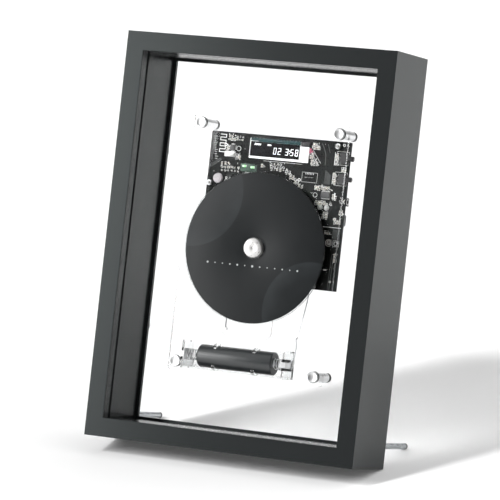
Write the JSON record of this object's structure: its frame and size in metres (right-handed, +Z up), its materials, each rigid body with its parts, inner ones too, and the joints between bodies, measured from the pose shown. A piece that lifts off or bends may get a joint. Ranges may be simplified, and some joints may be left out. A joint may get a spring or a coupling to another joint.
{
  "type": "frame-mounted disc player",
  "caption": "Open picture-frame disc player with a clear carrier, exposed board, magnetic disc puck, battery cradle and screw-in pegs, to hang on a wall or stand leaning.",
  "frame": {"origin": "on the ground, below the middle of the box around the leaning player", "axes": "+Z up from the ground, +Y from the open front towards the rear, so the frame leans back towards +Y; X along the width, with the sockets on +X"},
  "size_m": [0.23, 0.1426, 0.3254],
  "materials": {
    "frame_black": "black anodised, fine satin",
    "clear_acrylic": "polished clear acrylic",
    "satin_steel": "satin turned or rolled steel",
    "bright_steel": "polished steel",
    "key_alloy": "die cast",
    "rubber": "matt rubber",
    "board_mask": "black solder mask with white print",
    "chip_epoxy": "matt epoxy",
    "display_black": "black display glass",
    "light_guide": "white diffuser",
    "ledge_tint": "tinted glass ledge",
    "lamp_green": "clear lens, lit green",
    "connector_white": "moulded nylon",
    "moulded_black": "fine moulded texture",
    "ferrite": "ground ferrite",
    "disc_face": "printed disc, clear lacquer",
    "puck_alloy": "fine turned face",
    "cell_wrap": "satin shrink wrap",
    "lead_sheath": "translucent sheath",
    "gear_resin": "natural acetal",
    "lens_glass": "coated lens"
  },
  "bodies": {
    "frame": {"top_rail": "frame_black", "bottom_rail": "frame_black", "left_stile": "frame_black", "right_stile": "frame_black", "corner_keys": "key_alloy", "rear_pane": "clear_acrylic", "rear_screws": "satin_steel", "hanger_plates": "satin_steel", "wall_bumpers": "rubber", "standoff_barrels": "satin_steel", "standoff_caps": "satin_steel", "standoff_screws": "satin_steel", "mounting_plate": "clear_acrylic", "battery_holder": "clear_acrylic", "holder_screws": "satin_steel", "battery_cell": "cell_wrap", "contact_springs": "bright_steel", "contact_plates": "bright_steel", "battery_lead": "lead_sheath", "circuit_board": "board_mask", "board_spacers": "satin_steel", "module_screws": "satin_steel", "display_backlight": "light_guide", "display_panel": "display_black", "display_ledge": "ledge_tint", "controller_chips": "chip_epoxy", "power_inductor": "ferrite", "status_lamps": "lamp_green", "board_connectors": "connector_white", "headphone_jack": "moulded_black", "charging_socket": "bright_steel", "switch_bodies": "satin_steel", "drive_base": "moulded_black", "drive_dampers": "rubber", "spindle_motor": "satin_steel", "guide_rod": "bright_steel", "rod_clips": "satin_steel", "sled_motor": "satin_steel", "idler_axle": "bright_steel"},
    "spindle": {"spindle_shaft": "bright_steel", "turntable": "moulded_black", "hub_magnet": "ferrite"},
    "disc": {"disc": "disc_face"},
    "puck": {"disc_puck": "puck_alloy"},
    "sled": {"optical_pickup": "moulded_black"},
    "lens": {"objective_lens": "lens_glass"},
    "idler": {"idler_gear": "gear_resin"},
    "pinion": {"motor_pinion": "gear_resin"},
    "upper_button": {"upper_button": "moulded_black"},
    "lower_button": {"lower_button": "moulded_black"},
    "turn_top_left": {"turn_button_top_left": "satin_steel"},
    "turn_top_right": {"turn_button_top_right": "satin_steel"},
    "turn_bottom_left": {"turn_button_bottom_left": "satin_steel"},
    "turn_bottom_right": {"turn_button_bottom_right": "satin_steel"},
    "peg_left": {"support_peg_left": "bright_steel", "peg_tip_left": "rubber"},
    "peg_right": {"support_peg_right": "bright_steel", "peg_tip_right": "rubber"}
  },
  "joints": [
    {"name": "spindle_spin", "type": "hinge", "parent": "frame", "child": "spindle", "pos_m": [0, -0.00145, 0.16312], "axis": [0, -0.9667, 0.2558], "continuous": true},
    {"name": "disc_lift", "type": "slide", "parent": "spindle", "child": "disc", "axis": [0, -0.9667, 0.2558], "range_m": [0, 0.034]},
    {"name": "puck_lift", "type": "slide", "parent": "disc", "child": "puck", "axis": [0, -0.9667, 0.2558], "range_m": [0, 0.02]},
    {"name": "sled_slide", "type": "slide", "parent": "frame", "child": "sled", "axis": [0, -0.2558, -0.9667], "range_m": [0, 0.0335]},
    {"name": "lens_focus", "type": "slide", "parent": "sled", "child": "lens", "axis": [0, -0.9667, 0.2558], "range_m": [-0.0004, 0.0004], "stiffness_N_per_m": 60},
    {"name": "idler_turn", "type": "hinge", "parent": "frame", "child": "idler", "pos_m": [0.0211, 0.00452, 0.13878], "axis": [0, -0.9667, 0.2558], "range_deg": [-2, 386]},
    {"name": "pinion_turn", "type": "hinge", "parent": "frame", "child": "pinion", "pos_m": [0.0211, 0.00973, 0.15064], "axis": [0, -0.9667, 0.2558], "range_deg": [-1156, 6]},
    {"name": "upper_press", "type": "slide", "parent": "frame", "child": "upper_button", "axis": [-1, 0, 0], "range_m": [0, 0.0005], "stiffness_N_per_m": 400, "springref_m": -0.001},
    {"name": "lower_press", "type": "slide", "parent": "frame", "child": "lower_button", "axis": [-1, 0, 0], "range_m": [0, 0.0005], "stiffness_N_per_m": 400, "springref_m": -0.001},
    {"name": "top_left_turn", "type": "hinge", "parent": "frame", "child": "turn_top_left", "pos_m": [-0.1094, 0.04836, 0.22235], "axis": [0, 0.9667, -0.2558], "range_deg": [-90, 90]},
    {"name": "bottom_left_turn", "type": "hinge", "parent": "frame", "child": "turn_bottom_left", "pos_m": [-0.1094, 0.01255, 0.08701], "axis": [0, 0.9667, -0.2558], "range_deg": [-90, 90]},
    {"name": "peg_left_screw", "type": "hinge", "parent": "frame", "child": "peg_left", "pos_m": [-0.1082, -0.00599, 0.01692], "axis": [0, 0.9667, -0.2558], "continuous": true},
    {"name": "top_right_turn", "type": "hinge", "parent": "frame", "child": "turn_top_right", "pos_m": [0.1094, 0.04836, 0.22235], "axis": [0, 0.9667, -0.2558], "range_deg": [-90, 90]},
    {"name": "bottom_right_turn", "type": "hinge", "parent": "frame", "child": "turn_bottom_right", "pos_m": [0.1094, 0.01255, 0.08701], "axis": [0, 0.9667, -0.2558], "range_deg": [-90, 90]},
    {"name": "peg_right_screw", "type": "hinge", "parent": "frame", "child": "peg_right", "pos_m": [0.1082, -0.00599, 0.01692], "axis": [0, 0.9667, -0.2558], "continuous": true}
  ],
  "couplings": [
    {"joint": "idler_turn", "follows": "sled_slide", "rad_per_m": 200},
    {"joint": "pinion_turn", "follows": "sled_slide", "rad_per_m": -600}
  ]
}
